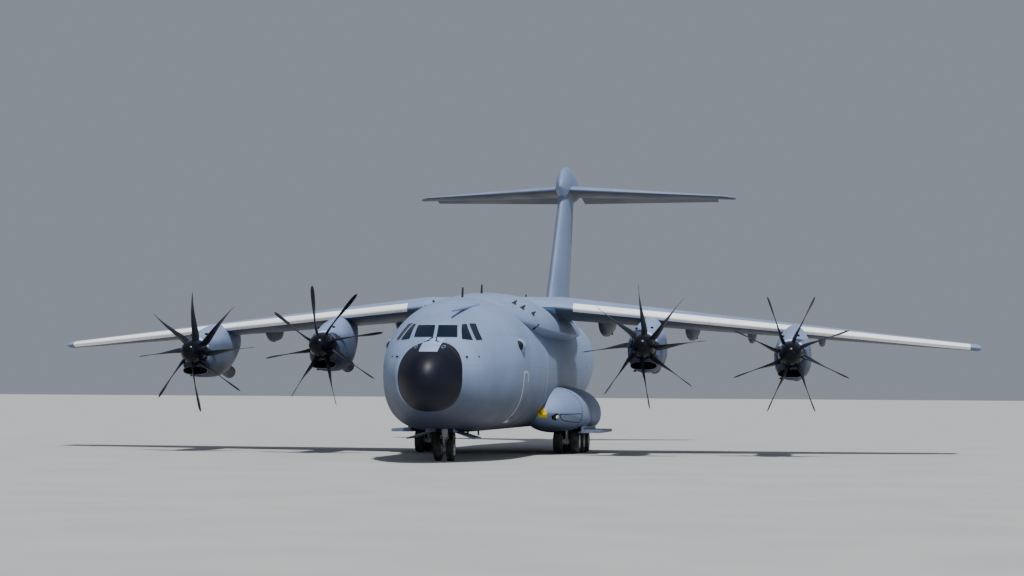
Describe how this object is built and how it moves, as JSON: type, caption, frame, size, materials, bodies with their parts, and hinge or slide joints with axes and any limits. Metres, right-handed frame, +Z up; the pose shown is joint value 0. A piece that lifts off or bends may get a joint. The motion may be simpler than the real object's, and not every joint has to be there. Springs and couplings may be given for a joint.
{
  "type": "military transport plane, 1:2 scale model",
  "caption": "High-wing military freight plane with turboprops, T-tail, rear loading ramp and landing gear down, as a half-size model.",
  "frame": {"origin": "on the ground, under the middle of the length and the span", "axes": "+Z up, nose towards -Y, the aeroplane's left side +X"},
  "size_m": [21.2, 22.55, 7.35],
  "materials": {
    "airframe_metal": "semi-matt grey paint on aluminium alloy",
    "airframe_composite": "semi-matt grey paint on fibre composite",
    "radome_black": "black anti-static paint on glass fibre",
    "blade_black": "satin black composite",
    "glazing": "dark tinted",
    "cabin_lining": "matt grey",
    "seat_cover": "dark green-grey cloth",
    "gear_paint": "gloss light grey paint on steel",
    "tyre_rubber": "worn black rubber",
    "engine_metal": "bare metal"
  },
  "bodies": {
    "airframe": {"radome": "radome_black", "nose_shell": "airframe_metal", "windscreen": "glazing", "side_windows_left": "glazing", "side_windows_right": "glazing", "cockpit_deck": "cabin_lining", "instrument_panel": "cabin_lining", "pilot_seats": "seat_cover", "wing_centre_box": "airframe_composite", "wing_left": "airframe_composite", "wing_right": "airframe_composite", "wing_root_fairing": "airframe_composite", "centre_shell": "airframe_metal", "tail_shell": "airframe_metal", "paratroop_door_left": "airframe_metal", "paratroop_door_right": "airframe_metal", "cargo_floor": "airframe_metal", "tailplane": "airframe_composite", "fin": "airframe_composite", "sponson_left": "airframe_composite", "main_gear_door_left": "airframe_composite", "main_gear_legs_left": "gear_paint", "sponson_right": "airframe_composite", "main_gear_door_right": "airframe_composite", "main_gear_legs_right": "gear_paint", "nose_gear_leg": "gear_paint", "nose_gear_door_left": "airframe_composite", "nose_gear_door_right": "airframe_composite", "nacelle_inner_left": "airframe_composite", "engine_inner_left": "engine_metal", "nacelle_outer_left": "airframe_composite", "engine_outer_left": "engine_metal", "nacelle_inner_right": "airframe_composite", "engine_inner_right": "engine_metal", "nacelle_outer_right": "airframe_composite", "engine_outer_right": "engine_metal", "refuelling_probe": "airframe_composite"},
    "crew_door": {"crew_door": "airframe_metal"},
    "cargo_ramp": {"cargo_ramp": "airframe_metal"},
    "cargo_door": {"cargo_door": "airframe_metal"},
    "flap_left": {"flap_left": "airframe_composite"},
    "flap_right": {"flap_right": "airframe_composite"},
    "aileron_left": {"aileron_left": "airframe_composite"},
    "aileron_right": {"aileron_right": "airframe_composite"},
    "elevator_left": {"elevator_left": "airframe_composite"},
    "elevator_right": {"elevator_right": "airframe_composite"},
    "rudder": {"rudder": "airframe_composite"},
    "nose_gear_fork": {"nose_gear_fork": "gear_paint"},
    "nose_wheels": {"nose_wheels": "tyre_rubber"},
    "propeller_inner_left": {"propeller_inner_left": "blade_black"},
    "propeller_outer_left": {"propeller_outer_left": "blade_black"},
    "propeller_inner_right": {"propeller_inner_right": "blade_black"},
    "propeller_outer_right": {"propeller_outer_right": "blade_black"},
    "main_wheels_front_left": {"main_wheels_front_left": "tyre_rubber"},
    "main_wheels_middle_left": {"main_wheels_middle_left": "tyre_rubber"},
    "main_wheels_rear_left": {"main_wheels_rear_left": "tyre_rubber"},
    "main_wheels_front_right": {"main_wheels_front_right": "tyre_rubber"},
    "main_wheels_middle_right": {"main_wheels_middle_right": "tyre_rubber"},
    "main_wheels_rear_right": {"main_wheels_rear_right": "tyre_rubber"}
  },
  "joints": [
    {"name": "crew_door_hinge", "type": "hinge", "parent": "airframe", "child": "crew_door", "pos_m": [1.0975, -7.4925, 0.869], "axis": [0, 1, 0], "range_deg": [0, 110]},
    {"name": "cargo_ramp_hinge", "type": "hinge", "parent": "airframe", "child": "cargo_ramp", "pos_m": [0, 1.355, 0.645], "axis": [-1, 0, 0], "range_deg": [0, 26]},
    {"name": "cargo_door_hinge", "type": "hinge", "parent": "airframe", "child": "cargo_door", "pos_m": [0, 6.44, 2.046], "axis": [-1, 0, 0], "range_deg": [0, 30]},
    {"name": "flap_left_hinge", "type": "hinge", "parent": "airframe", "child": "flap_left", "pos_m": [1.6, -1.29615, 2.71481], "axis": [-0.9876, -0.1505, 0.0453], "range_deg": [0, 35]},
    {"name": "flap_right_hinge", "type": "hinge", "parent": "airframe", "child": "flap_right", "pos_m": [-1.6, -1.29615, 2.71481], "axis": [-0.9876, 0.1505, -0.0453], "range_deg": [0, 35]},
    {"name": "aileron_left_hinge", "type": "hinge", "parent": "airframe", "child": "aileron_left", "pos_m": [7.45, -0.36475, 2.63874], "axis": [-0.9861, -0.1455, 0.0802], "range_deg": [-25, 20]},
    {"name": "aileron_right_hinge", "type": "hinge", "parent": "airframe", "child": "aileron_right", "pos_m": [-7.45, -0.36475, 2.63874], "axis": [-0.9861, 0.1455, -0.0802], "range_deg": [-25, 20]},
    {"name": "elevator_left_hinge", "type": "hinge", "parent": "airframe", "child": "elevator_left", "pos_m": [0.28, 9.72919, 6.69781], "axis": [-0.9538, -0.3004, 0.0061], "range_deg": [-40, 5]},
    {"name": "elevator_right_hinge", "type": "hinge", "parent": "airframe", "child": "elevator_right", "pos_m": [-0.28, 9.72919, 6.69781], "axis": [-0.9538, 0.3004, -0.0061], "range_deg": [-40, 5]},
    {"name": "rudder_hinge", "type": "hinge", "parent": "airframe", "child": "rudder", "pos_m": [0, 8.02266, 3.475], "axis": [0, 0.4244, 0.9055], "range_deg": [-30, 30]},
    {"name": "nose_steering", "type": "hinge", "parent": "airframe", "child": "nose_gear_fork", "pos_m": [0, -8.9, 0.21936], "axis": [0, 0, 1], "range_deg": [-60, 60]},
    {"name": "nose_wheels_spin", "type": "hinge", "parent": "nose_gear_fork", "child": "nose_wheels", "pos_m": [0, -8.9, 0.21936], "axis": [1, 0, 0], "continuous": true},
    {"name": "main_wheels_front_left_spin", "type": "hinge", "parent": "airframe", "child": "main_wheels_front_left", "pos_m": [1.55, -2.475, 0.26567], "axis": [1, 0, 0], "continuous": true},
    {"name": "main_wheels_middle_left_spin", "type": "hinge", "parent": "airframe", "child": "main_wheels_middle_left", "pos_m": [1.55, -1.675, 0.26567], "axis": [1, 0, 0], "continuous": true},
    {"name": "main_wheels_rear_left_spin", "type": "hinge", "parent": "airframe", "child": "main_wheels_rear_left", "pos_m": [1.55, -0.875, 0.26567], "axis": [1, 0, 0], "continuous": true},
    {"name": "main_wheels_front_right_spin", "type": "hinge", "parent": "airframe", "child": "main_wheels_front_right", "pos_m": [-1.55, -2.475, 0.26567], "axis": [1, 0, 0], "continuous": true},
    {"name": "main_wheels_middle_right_spin", "type": "hinge", "parent": "airframe", "child": "main_wheels_middle_right", "pos_m": [-1.55, -1.675, 0.26567], "axis": [1, 0, 0], "continuous": true},
    {"name": "main_wheels_rear_right_spin", "type": "hinge", "parent": "airframe", "child": "main_wheels_rear_right", "pos_m": [-1.55, -0.875, 0.26567], "axis": [1, 0, 0], "continuous": true},
    {"name": "propeller_inner_left_spin", "type": "hinge", "parent": "airframe", "child": "propeller_inner_left", "pos_m": [3.46, -4.725, 2.33], "axis": [0, 1, 0], "continuous": true},
    {"name": "propeller_outer_left_spin", "type": "hinge", "parent": "airframe", "child": "propeller_outer_left", "pos_m": [6.52, -3.975, 2.19], "axis": [0, 1, 0], "continuous": true},
    {"name": "propeller_inner_right_spin", "type": "hinge", "parent": "airframe", "child": "propeller_inner_right", "pos_m": [-3.46, -4.725, 2.33], "axis": [0, 1, 0], "continuous": true},
    {"name": "propeller_outer_right_spin", "type": "hinge", "parent": "airframe", "child": "propeller_outer_right", "pos_m": [-6.52, -3.975, 2.19], "axis": [0, 1, 0], "continuous": true}
  ]
}
